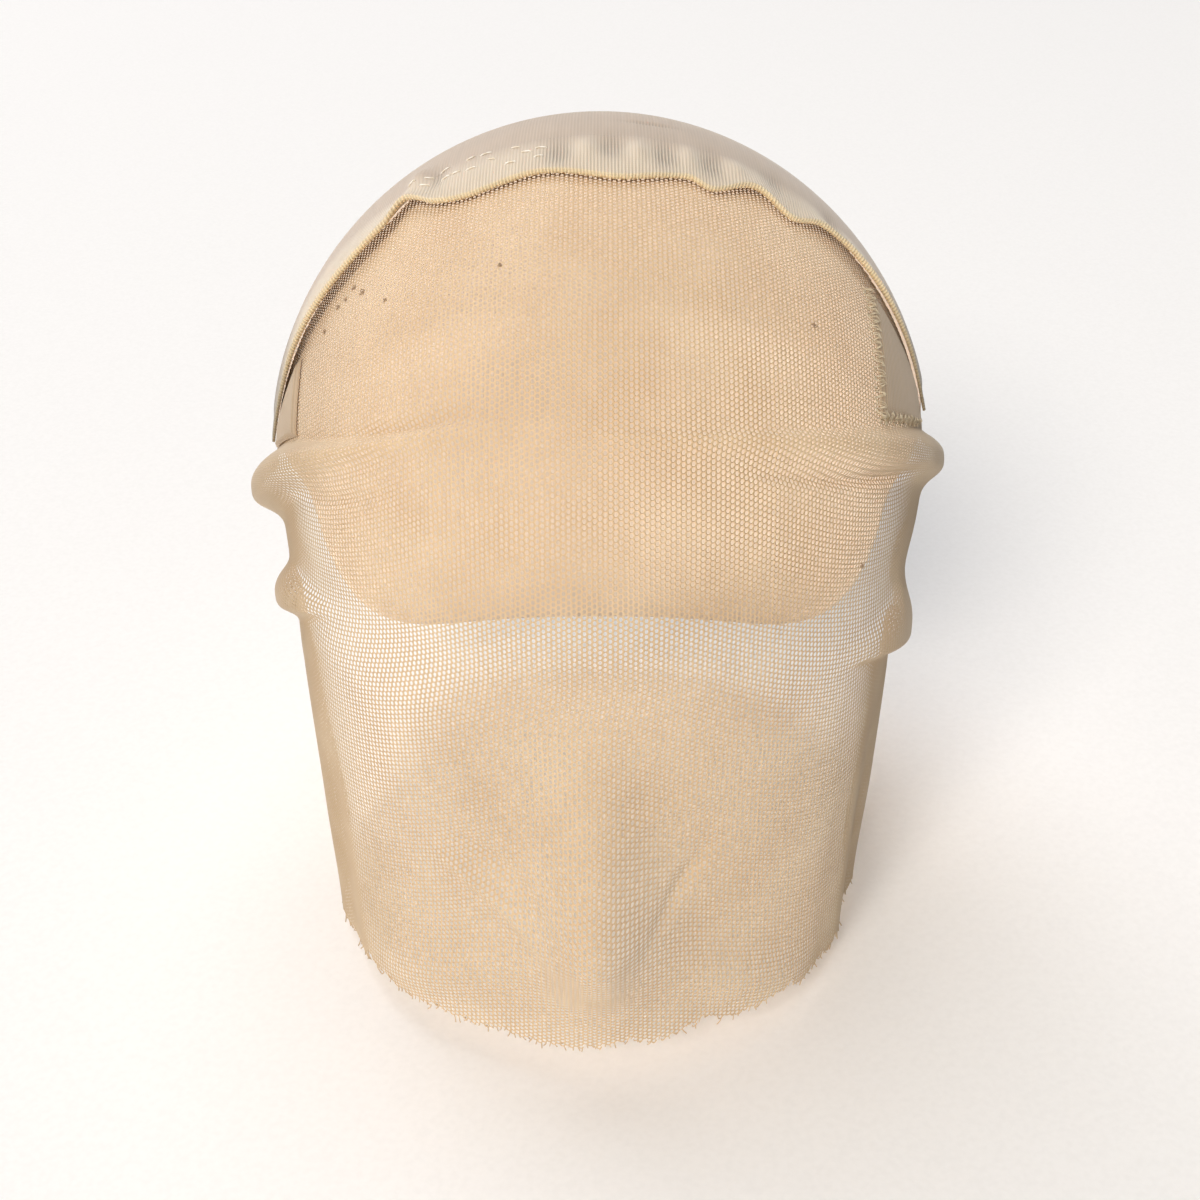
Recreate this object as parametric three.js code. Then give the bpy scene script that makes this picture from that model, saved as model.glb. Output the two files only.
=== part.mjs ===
// Lace front wig cap in its worn form. Millimetres, +Z up, face side toward -Y, +X to the wearer's left.
// The origin is the middle of the crown's inside, where the top of a head bears.
import * as THREE from 'three';

// Head form that the cap is stretched over: half an ellipsoid above the widest level, level sections below
const DOME_HEIGHT = 75;
const SECTIONS = [
  { z: -75, halfWidth: 77.5, front: 94.5, back: 92, squareness: 2.0 },
  { z: -94, halfWidth: 73.6, front: 94, back: 91, squareness: 2.4 },
  { z: -114, halfWidth: 73.2, front: 93, back: 86, squareness: 2.5 },
  { z: -144, halfWidth: 71.7, front: 94, back: 76, squareness: 2.5 },
  { z: -181, halfWidth: 69.2, front: 97, back: 66, squareness: 2.6 },
];

// Cloth walls, and the clearance that neighbouring pieces keep
const CROWN_WALL = 1.2;
const HEM_WALL = 1.6;
const LACE_WALL = 1.0;
const PANEL_WALL = 1.0;
const CLEARANCE = 0.3;
const SEAM_GAP = 0.5;

// Back of the hem, where it is sewn down to the crown, by degrees from the top
const HEM_BACK = [
  { degrees: 0, y: -1 },
  { degrees: 60, y: -3 },
  { degrees: 80, y: -7 },
];

// Front edge of the hem, from temple to temple over the top: its set-forward and how far it stands off the lace
const FRONT_EDGE = [
  { degrees: -79, y: -26, lift: 0.6 },
  { degrees: -70, y: -26, lift: 1.0 },
  { degrees: -60, y: -24, lift: 1.8 },
  { degrees: -44, y: -21, lift: 2.2 },
  { degrees: -36, y: -17, lift: 2.2 },
  { degrees: -32, y: -12, lift: 2.4 },
  { degrees: -27, y: -18, lift: 1.2 },
  { degrees: -21, y: -20.5, lift: 0.6 },
  { degrees: -9, y: -19, lift: 0.9 },
  { degrees: 3, y: -22.5, lift: 0.7 },
  { degrees: 14, y: -18.5, lift: 0.6 },
  { degrees: 18, y: -20.5, lift: 0.5 },
  { degrees: 25, y: -14.5, lift: 1.5 },
  { degrees: 32, y: -18, lift: 0.7 },
  { degrees: 38, y: -13.5, lift: 1.6 },
  { degrees: 50, y: -15, lift: 1.8 },
  { degrees: 62, y: -19, lift: 1.5 },
  { degrees: 74, y: -23, lift: 0.8 },
];

// Lower edge of the crown behind the hem: over the ear and down to the nape.
// On the wearer's left, where the hem is shorter, its front is drawn up to the hem's end.
const CROWN_LOWER_EDGE = [
  { y: -8, z: -60.5 },
  { y: 2, z: -82 },
  { y: 12, z: -106 },
  { y: 24, z: -130 },
  { y: 38, z: -151 },
  { y: 52, z: -165 },
  { y: 66, z: -172 },
  { y: 76, z: -173 },
];
const LEFT_EDGE_RISE = { z: 5.5, from: -8, to: 22 };

// Lace sheet: how far it runs round to the ears, how deep it is tucked under the hem, where it is cut off below
const LACE_SIDE_DEGREES = 79;
const LACE_TUCK = 9;
const LACE_CUT = [
  { degrees: 0, z: -175 },
  { degrees: 35, z: -178 },
  { degrees: 55, z: -183 },
  { degrees: 79, z: -181 },
];

// Ridge where the lace is tented over the nose, level by level
const NOSE_RIDGE = [
  { z: -86, height: 0, spread: 9 },
  { z: -104, height: 4, spread: 9 },
  { z: -122, height: 13, spread: 11 },
  { z: -138, height: 21, spread: 13 },
  { z: -148, height: 18, spread: 15 },
  { z: -162, height: 10, spread: 19 },
  { z: -183, height: 6, spread: 24 },
];

// Rolls where spare lace is gathered at the temples. A roll passes through y, z at the side of the head,
// climbs toward the forehead, and dies away at its front and back ends. above and below are its half thicknesses.
const ROLLS = [
  { side: 1, y: -27, z: -63.5, climb: 0.60, height: 5.2, above: 4.6, below: 7.0, frontEnd: -84, backEnd: -8 },
  { side: 1, y: -42, z: -101, climb: 0.36, height: 5.0, above: 12.0, below: 4.4, frontEnd: -72, backEnd: -10 },
  { side: -1, y: -27, z: -71, climb: 0.80, height: 6.4, above: 6.0, below: 7.2, frontEnd: -78, backEnd: -8 },
  { side: -1, y: -42, z: -91, climb: 0.40, height: 4.6, above: 5.4, below: 5.0, frontEnd: -66, backEnd: -12 },
];
const [UPPER_LEFT, LOWER_LEFT, UPPER_RIGHT, LOWER_RIGHT] = ROLLS;
// How blunt a roll is across: 2 gives a bell, more gives a fuller roll
const ROLL_BLUNTNESS = 3;

// Below the widest level the lace hangs a little to the wearer's right
const LACE_LEAN = { x: -1.2, from: -78, to: -95 };

// Temple panels of crown knit, laid on the lace between the hem and the upper roll
const PANELS = [
  { name: 'side_panel_left', seamDegrees: 49.5, backDegrees: 67, roll: UPPER_LEFT, rollClearance: 8 },
  { name: 'side_panel_right', seamDegrees: -58, backDegrees: -69, roll: UPPER_RIGHT, rollClearance: 9 },
];
const PANEL_HEM_GAP = 0.6;
const PANEL_CLEARANCE = 0.5;

// Facet counts
const LACE_COLUMNS = 48;
const LACE_ROWS_TO_UPPER_ROLLS = 10;
const LACE_ROWS_TO_LOWER_ROLLS = 12;
const LACE_ROWS_TO_CUT = 14;
const CROWN_COLUMNS = 56;
const CROWN_ROWS = 12;
const HEM_COLUMNS = 64;
const HEM_ROWS = 3;
const PANEL_COLUMNS = 6;
const PANEL_ROWS = 6;

// Elevation of the crown's own middle, at the back of the head
const CROWN_POLE_DEGREES = 30;

// The lace's rows of facets lie along the ridges of its rolls, blended across the forehead between the two sides,
// and start at least this far below the lace's top
const RIDGE_BLEND_DEGREES = 25;
const LEAST_BAND = 3;

const WIDEST = SECTIONS[0];
const DOME_RADIUS = Math.hypot(WIDEST.front, DOME_HEIGHT) / Math.SQRT2;
const SMALL_STEP = 0.02;
const TINY = 1e-6;
const SEARCH_STEPS = 40;
const radians = THREE.MathUtils.degToRad;

// Smooth value of one column of a table, at a place along its key column, level at both ends
function column(table, key, name, at) {
  const rows = table[0][key] < table[table.length - 1][key] ? table : [...table].reverse();
  const last = rows.length - 1;
  let i = 0;
  while (i < last - 1 && at > rows[i + 1][key]) i += 1;
  const slope = (k) => {
    if (k === 0 || k === last) return 0;
    return (rows[k + 1][name] - rows[k - 1][name]) / (rows[k + 1][key] - rows[k - 1][key]);
  };
  const span = rows[i + 1][key] - rows[i][key];
  const t = THREE.MathUtils.clamp((at - rows[i][key]) / span, 0, 1);
  const s = 1 - t;
  return rows[i][name] * s * s * (1 + 2 * t) + rows[i + 1][name] * t * t * (1 + 2 * s)
    + span * t * s * (slope(i) * s - slope(i + 1) * t);
}

// Place between low and high where a rising function passes zero
function crossing(low, high, rising) {
  let [below, above] = [low, high];
  for (let step = 0; step < SEARCH_STEPS; step += 1) {
    const middle = (below + above) / 2;
    if (rising(middle) < 0) below = middle;
    else above = middle;
  }
  return (below + above) / 2;
}

// The head form: negative inside, zero on its surface
function formValue(x, y, z) {
  const level = Math.min(z, -DOME_HEIGHT);
  const halfWidth = column(SECTIONS, 'z', 'halfWidth', level);
  const depth = column(SECTIONS, 'z', y < 0 ? 'front' : 'back', level);
  const squareness = column(SECTIONS, 'z', 'squareness', level);
  const above = Math.max(z + DOME_HEIGHT, 0) / DOME_HEIGHT;
  return (Math.abs(x) / halfWidth) ** squareness + (Math.abs(y) / depth) ** squareness + above ** 2 - 1;
}

function formNormal(point) {
  const { x, y, z } = point;
  const h = SMALL_STEP;
  return new THREE.Vector3(
    formValue(x + h, y, z) - formValue(x - h, y, z),
    formValue(x, y + h, z) - formValue(x, y - h, z),
    formValue(x, y, z + h) - formValue(x, y, z - h),
  ).normalize();
}

// Point of the form on a ray from the middle of its widest level
function formAlong(direction) {
  const middle = new THREE.Vector3(0, 0, -DOME_HEIGHT);
  const at = (t) => middle.clone().addScaledVector(direction, t);
  return at(crossing(0, 2 * WIDEST.front, (t) => formValue(...at(t).toArray())));
}

// Point of the form on a wale of the lace. Wales are parallel to the middle of the face, lateral says which one,
// and rise is the way along it, up over the dome or down below the widest level.
function formOnWale(lateral, rise) {
  const across = WIDEST.halfWidth * Math.sin(lateral);
  const forward = WIDEST.front * Math.cos(lateral);
  if (rise >= 0) {
    const tilt = rise / DOME_RADIUS;
    const z = DOME_HEIGHT * (Math.cos(lateral) * Math.sin(tilt) - 1);
    return new THREE.Vector3(across, -forward * Math.cos(tilt), z);
  }
  const z = rise - DOME_HEIGHT;
  const reach = crossing(0, 2, (k) => formValue(k * across, -k * forward, z));
  return new THREE.Vector3(reach * across, -reach * forward, z);
}

// Point of the form on the way from ear to ear over the top, at a set-forward of y
function formOverTop(degrees, y) {
  const turn = Math.abs(degrees);
  const side = Math.sign(degrees);
  const depth = y < 0 ? WIDEST.front : WIDEST.back;
  if (turn <= 90) {
    const slice = Math.sqrt(1 - (y / depth) ** 2);
    const x = side * WIDEST.halfWidth * slice * Math.sin(radians(turn));
    return new THREE.Vector3(x, y, DOME_HEIGHT * (slice * Math.cos(radians(turn)) - 1));
  }
  const z = -DOME_HEIGHT * (1 + radians(turn - 90));
  const x = crossing(0, 2 * WIDEST.halfWidth, (reach) => formValue(reach, y, z));
  return new THREE.Vector3(side * x, y, z);
}

// Degrees from the top at which a point lies on the way from ear to ear
function degreesOverTop(point) {
  const { x, z } = point;
  if (z < -DOME_HEIGHT) return Math.sign(x) * (90 + THREE.MathUtils.radToDeg(-z / DOME_HEIGHT - 1));
  return THREE.MathUtils.radToDeg(Math.atan2(x / WIDEST.halfWidth, z / DOME_HEIGHT + 1));
}

function hemEdgeAt(point) {
  return column(FRONT_EDGE, 'degrees', 'y', degreesOverTop(point));
}

function hemBackAt(degrees) {
  return column(HEM_BACK, 'degrees', 'y', Math.abs(degrees));
}

function crownEdgeLevel(point) {
  const { z, from, to } = LEFT_EDGE_RISE;
  const drawnUp = point.x > 0 ? z * (1 - THREE.MathUtils.smoothstep(point.y, from, to)) : 0;
  return column(CROWN_LOWER_EDGE, 'y', 'z', point.y) + drawnUp;
}

// Level of a roll's ridge where it passes a given set-forward
function ridgeLevel(roll, y) {
  return roll.z - roll.climb * (y - roll.y);
}

function rollLift(roll, point) {
  const { x, y, z } = point;
  if (x * roll.side <= 0) return 0;
  const { smoothstep } = THREE.MathUtils;
  const away = z - ridgeLevel(roll, y);
  const across = Math.abs(away) / (away > 0 ? roll.above : roll.below);
  const alongRidge = smoothstep(y, roll.frontEnd, roll.y) * (1 - smoothstep(y, roll.y, roll.backEnd));
  return roll.height * alongRidge * Math.exp(-(across ** ROLL_BLUNTNESS));
}

// Outer face of the lace: the form, drawn in under the crown, with its rolls, its lean and its nose ridge
function laceFace(lateral, rise) {
  const base = formOnWale(lateral, rise);
  const lift = ROLLS.reduce((sum, roll) => sum + rollLift(roll, base), -CLEARANCE);
  const face = base.clone().addScaledVector(formNormal(base), lift);
  face.x += LACE_LEAN.x * THREE.MathUtils.smoothstep(-base.z, -LACE_LEAN.from, -LACE_LEAN.to);
  const spread = column(NOSE_RIDGE, 'z', 'spread', base.z);
  face.y -= column(NOSE_RIDGE, 'z', 'height', base.z) * Math.exp(-((base.x / spread) ** 2));
  return face;
}

function laceNormal(lateral, rise) {
  const step = SMALL_STEP / DOME_RADIUS;
  const across = laceFace(lateral + step, rise).sub(laceFace(lateral - step, rise));
  const up = laceFace(lateral, rise + SMALL_STEP).sub(laceFace(lateral, rise - SMALL_STEP));
  return across.cross(up).normalize();
}

// Rise at which a wale passes a set-forward measured from the hem's front edge
function riseAtHem(lateral, behindEdge) {
  return crossing(0, DOME_RADIUS * Math.PI / 2, (rise) => {
    const point = formOnWale(lateral, rise);
    return point.y - hemEdgeAt(point) - behindEdge;
  });
}

// Rise at which a wale passes the ridges of two rolls, one on each side, blended across the forehead
function riseAtRidge(lateral, leftRoll, rightRoll) {
  const blend = radians(RIDGE_BLEND_DEGREES);
  const share = THREE.MathUtils.smoothstep(lateral, -blend, blend);
  return crossing(-DOME_HEIGHT, DOME_RADIUS * Math.PI / 2, (rise) => {
    const { y, z } = formOnWale(lateral, rise);
    return z - THREE.MathUtils.lerp(ridgeLevel(rightRoll, y), ridgeLevel(leftRoll, y), share);
  });
}

// Places along a wale, from high to low. Their distances on the form follow a spacing function from 0 to 1.
function risesAlong(lateral, high, low, rows, spacing) {
  const samples = 120;
  const rises = Array.from({ length: samples + 1 }, (_, k) => THREE.MathUtils.lerp(high, low, k / samples));
  const lengths = [0];
  for (let k = 1; k <= samples; k += 1) {
    const step = formOnWale(lateral, rises[k]).distanceTo(formOnWale(lateral, rises[k - 1]));
    lengths.push(lengths[k - 1] + step);
  }
  return Array.from({ length: rows + 1 }, (_, row) => {
    const target = lengths[samples] * spacing(row / rows);
    const k = Math.max(1, lengths.findIndex((length) => length >= target - TINY));
    const t = (target - lengths[k - 1]) / (lengths[k] - lengths[k - 1]);
    return THREE.MathUtils.lerp(rises[k - 1], rises[k], t);
  });
}

// Closed wall between an outer and an inner grid of points. A round grid closes on itself and starts at one point.
function wallGeometry(outerRows, innerRows, round) {
  const positions = [];
  const store = (rows) => rows.map((row) => row.map((point) => {
    positions.push(...point.toArray());
    return positions.length / 3 - 1;
  }));
  const outer = store(outerRows);
  const inner = store(innerRows);
  const indices = [];
  const triangle = (a, b, c) => {
    if (a !== b && b !== c && c !== a) indices.push(a, b, c);
  };
  const quad = (a, b, c, d) => {
    triangle(a, b, c);
    triangle(a, c, d);
  };
  const lastRow = outer.length - 1;
  const columns = outer[lastRow].length - (round ? 0 : 1);
  const at = (grid, row, col) => grid[row][col % grid[row].length];
  for (let row = 0; row < lastRow; row += 1) {
    for (let col = 0; col < columns; col += 1) {
      const corners = [[row, col], [row + 1, col], [row + 1, col + 1], [row, col + 1]];
      quad(...corners.map(([r, c]) => at(outer, r, c)));
      quad(...corners.reverse().map(([r, c]) => at(inner, r, c)));
    }
  }
  const rim = (from, to) => {
    quad(at(outer, ...from), at(inner, ...from), at(inner, ...to), at(outer, ...to));
  };
  for (let col = 0; col < columns; col += 1) {
    rim([lastRow, col], [lastRow, col + 1]);
    if (!round) rim([0, col + 1], [0, col]);
  }
  for (let row = 0; row < lastRow && !round; row += 1) {
    rim([row, 0], [row + 1, 0]);
    rim([row + 1, columns], [row, columns]);
  }
  const geometry = new THREE.BufferGeometry();
  geometry.setAttribute('position', new THREE.Float32BufferAttribute(positions, 3));
  geometry.setIndex(indices);
  geometry.computeVertexNormals();
  return geometry;
}

// Grid of points, by rows, from a function of the row and the column
function grid(rows, columns, point) {
  return Array.from({ length: rows + 1 }, (_, row) => (
    Array.from({ length: columns + 1 }, (__, col) => point(row, col))
  ));
}

// Walls on a patch of lace face: places is a grid of lateral and rise, the wall lies from low to high above the face
function wallOnLace(places, low, high) {
  const layer = (offset) => places.map((row) => row.map(([lateral, rise]) => (
    laceFace(lateral, rise).addScaledVector(laceNormal(lateral, rise), offset)
  )));
  return wallGeometry(layer(high), layer(low), false);
}

// Rows of the lace along one wale, from under the hem to the cut, close together at the ridges of the rolls
function laceRises(lateral) {
  const top = riseAtHem(lateral, LACE_TUCK);
  const upper = Math.min(riseAtRidge(lateral, UPPER_LEFT, UPPER_RIGHT), top - LEAST_BAND);
  const lower = riseAtRidge(lateral, LOWER_LEFT, LOWER_RIGHT);
  const cut = column(LACE_CUT, 'degrees', 'z', Math.abs(THREE.MathUtils.radToDeg(lateral))) + DOME_HEIGHT;
  const closeBelow = (t) => Math.sin(t * Math.PI / 2);
  const closeAtBoth = (t) => (1 - Math.cos(t * Math.PI)) / 2;
  const closeAbove = (t) => 1 - Math.cos(t * Math.PI / 2);
  return [
    ...risesAlong(lateral, top, upper, LACE_ROWS_TO_UPPER_ROLLS, closeBelow),
    ...risesAlong(lateral, upper, lower, LACE_ROWS_TO_LOWER_ROLLS, closeAtBoth).slice(1),
    ...risesAlong(lateral, lower, cut, LACE_ROWS_TO_CUT, closeAbove).slice(1),
  ];
}

function laceFront() {
  const laterals = Array.from({ length: LACE_COLUMNS + 1 }, (_, col) => (
    radians(LACE_SIDE_DEGREES) * (2 * col / LACE_COLUMNS - 1)
  ));
  const wales = laterals.map(laceRises);
  const rows = wales[0].length - 1;
  const places = grid(rows, LACE_COLUMNS, (row, col) => [laterals[col], wales[col][row]]);
  return wallOnLace(places, -LACE_WALL, 0);
}

function sidePanel(panel) {
  const wales = Array.from({ length: PANEL_COLUMNS + 1 }, (_, col) => {
    const lateral = radians(THREE.MathUtils.lerp(panel.seamDegrees, panel.backDegrees, col / PANEL_COLUMNS));
    const high = riseAtHem(lateral, -PANEL_HEM_GAP);
    const low = crossing(0, high, (rise) => {
      const point = formOnWale(lateral, rise);
      return point.z - ridgeLevel(panel.roll, point.y) - panel.rollClearance;
    });
    return risesAlong(lateral, high, low, PANEL_ROWS, (t) => t).map((rise) => [lateral, rise]);
  });
  const columns = panel.seamDegrees < 0 ? wales.reverse() : wales;
  const places = grid(PANEL_ROWS, PANEL_COLUMNS, (row, col) => columns[col][row]);
  return wallOnLace(places, PANEL_CLEARANCE, PANEL_CLEARANCE + PANEL_WALL);
}

function frontHem() {
  const [first, last] = [FRONT_EDGE[0].degrees, FRONT_EDGE[FRONT_EDGE.length - 1].degrees];
  const layer = (wall) => grid(HEM_ROWS, HEM_COLUMNS, (row, col) => {
    const degrees = THREE.MathUtils.lerp(first, last, col / HEM_COLUMNS);
    const behind = 1 - row / HEM_ROWS;
    const edge = column(FRONT_EDGE, 'degrees', 'y', degrees);
    const lift = column(FRONT_EDGE, 'degrees', 'lift', degrees) * (1 - behind) ** 2;
    const point = formOverTop(degrees, THREE.MathUtils.lerp(edge, hemBackAt(degrees), behind));
    return point.addScaledVector(formNormal(point), lift + wall);
  });
  return wallGeometry(layer(HEM_WALL), layer(0), false);
}

function crownCap() {
  const tip = radians(CROWN_POLE_DEGREES);
  const pole = new THREE.Vector3(0, Math.cos(tip), Math.sin(tip));
  const up = new THREE.Vector3(0, -Math.sin(tip), Math.cos(tip));
  const side = new THREE.Vector3(1, 0, 0);
  const direction = (around, spread) => pole.clone().multiplyScalar(Math.cos(spread))
    .addScaledVector(side, Math.sin(spread) * Math.sin(around))
    .addScaledVector(up, Math.sin(spread) * Math.cos(around));
  const beyondEdge = (point) => Math.max(
    hemBackAt(degreesOverTop(point)) + SEAM_GAP - point.y,
    crownEdgeLevel(point) - point.z,
  );
  const edges = Array.from({ length: CROWN_COLUMNS }, (_, col) => {
    const around = 2 * Math.PI * col / CROWN_COLUMNS;
    const spread = crossing(0, Math.PI * 0.75, (turn) => beyondEdge(formAlong(direction(around, turn))));
    return { around, spread };
  });
  const layer = (wall) => Array.from({ length: CROWN_ROWS + 1 }, (_, row) => {
    const ring = row === 0 ? edges.slice(0, 1) : edges;
    return ring.map(({ around, spread }) => {
      const point = formAlong(direction(around, spread * row / CROWN_ROWS));
      return point.addScaledVector(formNormal(point), wall);
    });
  });
  return wallGeometry(layer(CROWN_WALL), layer(0), true);
}

const crownKnit = new THREE.MeshStandardMaterial({ color: 0xc7b6a5, roughness: 0.9, metalness: 0 });
const hemKnit = new THREE.MeshStandardMaterial({ color: 0xd8c8b0, roughness: 0.88, metalness: 0 });
const laceNet = new THREE.MeshStandardMaterial({ color: 0xd3b895, roughness: 0.8, metalness: 0 });
const panelKnit = new THREE.MeshStandardMaterial({ color: 0xbda78c, roughness: 0.9, metalness: 0 });

const cap = new THREE.Group();

function addPiece(name, geometry, material) {
  const mesh = new THREE.Mesh(geometry, material);
  mesh.name = name;
  cap.add(mesh);
}

addPiece('crown_cap', crownCap(), crownKnit);
addPiece('front_hem', frontHem(), hemKnit);
addPiece('lace_front', laceFront(), laceNet);
for (const panel of PANELS) addPiece(panel.name, sidePanel(panel), panelKnit);

export default cap;
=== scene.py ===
# Looks of a lace front wig cap in its worn form: net, rib knit, turned hem, stitches, light and camera.
# Sizes are in millimetres, as in the solids, and become metres when a mesh is made.
import math

import bpy
import numpy as np
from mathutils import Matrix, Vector


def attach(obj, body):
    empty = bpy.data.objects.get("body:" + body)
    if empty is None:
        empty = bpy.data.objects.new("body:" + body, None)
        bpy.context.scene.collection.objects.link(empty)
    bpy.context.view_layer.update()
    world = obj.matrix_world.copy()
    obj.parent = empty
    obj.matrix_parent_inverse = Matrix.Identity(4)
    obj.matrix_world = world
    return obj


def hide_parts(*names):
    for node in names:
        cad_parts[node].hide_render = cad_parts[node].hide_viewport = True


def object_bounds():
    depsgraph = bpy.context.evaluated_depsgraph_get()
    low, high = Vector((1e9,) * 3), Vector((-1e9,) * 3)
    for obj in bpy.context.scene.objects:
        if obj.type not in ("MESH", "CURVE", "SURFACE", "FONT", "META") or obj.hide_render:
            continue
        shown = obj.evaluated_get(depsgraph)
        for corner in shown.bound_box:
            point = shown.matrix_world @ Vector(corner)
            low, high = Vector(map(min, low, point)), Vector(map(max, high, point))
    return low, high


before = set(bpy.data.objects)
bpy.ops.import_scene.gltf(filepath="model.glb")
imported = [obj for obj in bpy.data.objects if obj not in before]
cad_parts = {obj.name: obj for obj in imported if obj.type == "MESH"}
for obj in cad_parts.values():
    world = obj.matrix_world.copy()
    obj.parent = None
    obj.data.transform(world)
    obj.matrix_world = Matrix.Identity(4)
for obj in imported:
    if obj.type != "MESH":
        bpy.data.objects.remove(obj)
cad_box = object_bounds()

METRES = 0.001
BODY = "root"

# Worn form that the cap is stretched to: half an ellipsoid above the widest level, level sections below
DOME_HEIGHT = 75
SECTIONS = [
    dict(z=-75, half_width=77.5, front=94.5, back=92, squareness=2.0),
    dict(z=-94, half_width=73.6, front=94, back=91, squareness=2.4),
    dict(z=-114, half_width=73.2, front=93, back=86, squareness=2.5),
    dict(z=-144, half_width=71.7, front=94, back=76, squareness=2.5),
    dict(z=-181, half_width=69.2, front=97, back=66, squareness=2.6),
]
WIDEST = SECTIONS[0]
DOME_RADIUS = math.hypot(WIDEST["front"], DOME_HEIGHT) / math.sqrt(2)

# Cloth walls, and how deep under the form's face the lace lies
CROWN_WALL = 1.2
HEM_WALL = 1.3
PANEL_WALL = 0.9
LACE_DEPTH = 0.5

# Back of the hem, where it is sewn down to the crown, by degrees from the top
HEM_BACK = [
    dict(degrees=0, y=-1),
    dict(degrees=60, y=-3),
    dict(degrees=80, y=-7),
]

# Front edge of the hem, side to side over the top: its set-forward and how far it stands off the lace
FRONT_EDGE = [
    dict(degrees=-79, y=-26, lift=0.6),
    dict(degrees=-70, y=-26, lift=1.0),
    dict(degrees=-60, y=-24, lift=1.8),
    dict(degrees=-44, y=-21, lift=2.2),
    dict(degrees=-36, y=-17, lift=2.2),
    dict(degrees=-32, y=-12, lift=2.4),
    dict(degrees=-27, y=-18, lift=1.2),
    dict(degrees=-21, y=-20.5, lift=0.6),
    dict(degrees=-9, y=-19, lift=0.9),
    dict(degrees=3, y=-22.5, lift=0.7),
    dict(degrees=14, y=-18.5, lift=0.6),
    dict(degrees=18, y=-20.5, lift=0.5),
    dict(degrees=25, y=-14.5, lift=1.5),
    dict(degrees=32, y=-18, lift=0.7),
    dict(degrees=38, y=-13.5, lift=1.6),
    dict(degrees=50, y=-15, lift=1.8),
    dict(degrees=62, y=-19, lift=1.5),
    dict(degrees=74, y=-23, lift=0.8),
]

# Lower edge of the crown behind the hem, down to the nape.
# On the wearer's left, where the hem is shorter, its front is drawn up to the hem's end.
CROWN_LOWER_EDGE = [
    dict(y=-8, z=-60.5),
    dict(y=2, z=-82),
    dict(y=12, z=-106),
    dict(y=24, z=-130),
    dict(y=38, z=-151),
    dict(y=52, z=-165),
    dict(y=66, z=-172),
    dict(y=76, z=-173),
]
LEFT_EDGE_RISE = dict(z=5.5, start=-8, end=22)
# Below this level the crown's rim thins to a share of its wall, over the last share of the way to it
CROWN_RIM = dict(z=-50, wall_share=0.4, start=0.96)

# Lace sheet: how far round it runs, how deep it is tucked under the hem, and where it is cut off below
LACE_SIDE_DEGREES = 79
LACE_TUCK = 9
LACE_CUT = [
    dict(degrees=0, z=-175),
    dict(degrees=35, z=-178),
    dict(degrees=55, z=-183),
    dict(degrees=79, z=-181),
]

# Ridge where the lace is tented out in the middle, level by level
TENT_RIDGE = [
    dict(z=-86, height=0, spread=9),
    dict(z=-104, height=4, spread=9),
    dict(z=-122, height=13, spread=11),
    dict(z=-138, height=21, spread=13),
    dict(z=-148, height=18, spread=15),
    dict(z=-162, height=10, spread=19),
    dict(z=-183, height=6, spread=24),
]

# Rolls where spare lace is gathered at the temples. A roll passes through y, z at the cap's side, climbs
# toward the front, and dies away at both ends. above and below are its half thicknesses.
ROLLS = [
    dict(side=1, y=-27, z=-63.5, climb=0.60, height=5.2, above=4.6, below=7.0, front_end=-84, back_end=-8),
    dict(side=1, y=-42, z=-101, climb=0.36, height=5.0, above=12.0, below=4.4, front_end=-72, back_end=-10),
    dict(side=-1, y=-27, z=-71, climb=0.80, height=6.4, above=6.0, below=7.2, front_end=-78, back_end=-8),
    dict(side=-1, y=-42, z=-91, climb=0.40, height=4.6, above=5.4, below=5.0, front_end=-66, back_end=-12),
]
# How blunt a roll is across and along, the share of its thickness left at its tips, how far its ridge sinks
# for its height, how much closer its rows lie, and how much smaller its holes are where the net is doubled
ROLL_BLUNTNESS = 3
ROLL_TAPER = 0.65
ROLL_TIP = 0.35
ROLL_SAG = 0.3
ROLL_SPARE = 0.5
ROLL_CLOSING = 0.6

# Below the widest level the lace hangs a little to the wearer's right
LACE_LEAN = dict(x=-1.2, start=-78, end=-95)

# Slight creases of the lace, each from one place to another, with its half thickness and height
CREASES = [
    dict(from_degrees=-28, from_z=-128, to_degrees=-4, to_z=-148, width=2.2, height=1.8),
    dict(from_degrees=-24, from_z=-121, to_degrees=-6, to_z=-138, width=2.0, height=-1.5),
    dict(from_degrees=20, from_z=-122, to_degrees=7, to_z=-146, width=2.4, height=-1.6),
    dict(from_degrees=-8, from_z=-150, to_degrees=-44, to_z=-180, width=6.0, height=1.8),
    dict(from_degrees=7, from_z=-150, to_degrees=42, to_z=-180, width=6.0, height=1.8),
    dict(from_degrees=-62, from_z=-55, to_degrees=-18, to_z=-30, width=1.1, height=-2.2),
    dict(from_degrees=-60, from_z=-63, to_degrees=-30, to_z=-47, width=1.4, height=-1.2),
    dict(from_degrees=66, from_z=-62, to_degrees=18, to_z=-38.5, width=1.2, height=-1.8),
    dict(from_degrees=20, from_z=-111, to_degrees=2, to_z=-116, width=1.8, height=0.8),
]
# Soft flutes at the free sides of the lace, fullest at the cut
FLUTE_SPACING = 21
FLUTE_HEIGHT = 1.3
FLUTE_TOP = -92
FLUTE_FULL = -165
FLUTE_INNER_DEGREES = 38
FLUTE_OUTER_DEGREES = 66

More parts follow.
